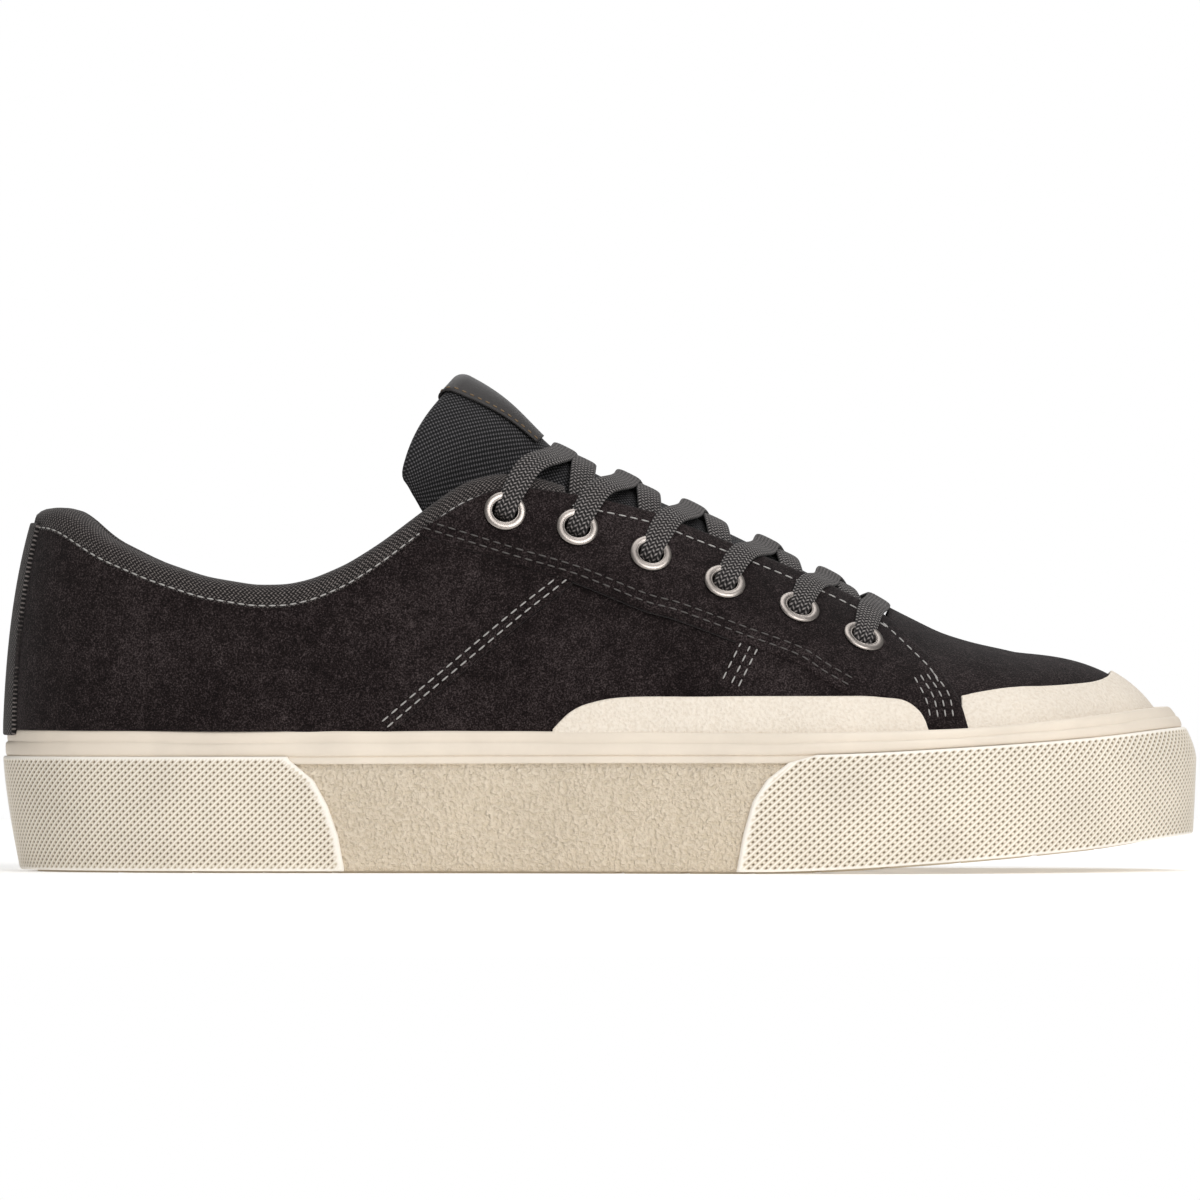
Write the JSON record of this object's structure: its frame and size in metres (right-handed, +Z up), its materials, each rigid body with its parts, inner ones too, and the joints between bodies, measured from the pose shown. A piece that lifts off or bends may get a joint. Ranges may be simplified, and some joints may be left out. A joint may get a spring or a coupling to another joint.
{
  "type": "skateboarding shoe",
  "caption": "Low padded skate shoe for the right foot: suede upper over a cream cup sole with knurled heel and toe wraps, toe bumper, metal eyelets and flat laces",
  "frame": {"origin": "middle of the shoe's footprint, on the floor", "axes": "+X to the toe, +Y to the inner side of the foot, +Z up"},
  "size_m": [0.2997, 0.1092, 0.1255],
  "materials": {
    "cream_rubber": "matt moulded rubber",
    "black_suede": "napped suede",
    "webbing": "woven webbing",
    "canvas": "coarse canvas over padding",
    "label": "close woven strip",
    "lining": "padded textile lining",
    "footbed": "textile over foam",
    "nickel": "satin plated metal",
    "lace": "flat braid"
  },
  "bodies": {
    "root": {"midsole": "cream_rubber", "outsole": "cream_rubber", "heel_wrap": "cream_rubber", "toe_wrap": "cream_rubber", "foxing_tape": "cream_rubber", "side_patch_inner": "cream_rubber", "side_patch_outer": "cream_rubber", "toe_bumper": "cream_rubber", "upper": "black_suede", "eyestay_inner": "black_suede", "eyestay_outer": "black_suede", "heel_strip": "webbing", "collar_binding": "webbing", "tongue": "canvas", "tongue_label": "label", "collar_padding": "lining", "insole": "footbed", "eyelet_inner_1": "nickel", "eyelet_inner_2": "nickel", "eyelet_inner_3": "nickel", "eyelet_inner_4": "nickel", "eyelet_inner_5": "nickel", "eyelet_inner_6": "nickel", "eyelet_outer_1": "nickel", "eyelet_outer_2": "nickel", "eyelet_outer_3": "nickel", "eyelet_outer_4": "nickel", "eyelet_outer_5": "nickel", "eyelet_outer_6": "nickel", "lace_bar": "lace", "lace_cross_1": "lace", "lace_cross_2": "lace", "lace_cross_3": "lace", "lace_cross_4": "lace", "lace_cross_5": "lace"}
  },
  "joints": []
}
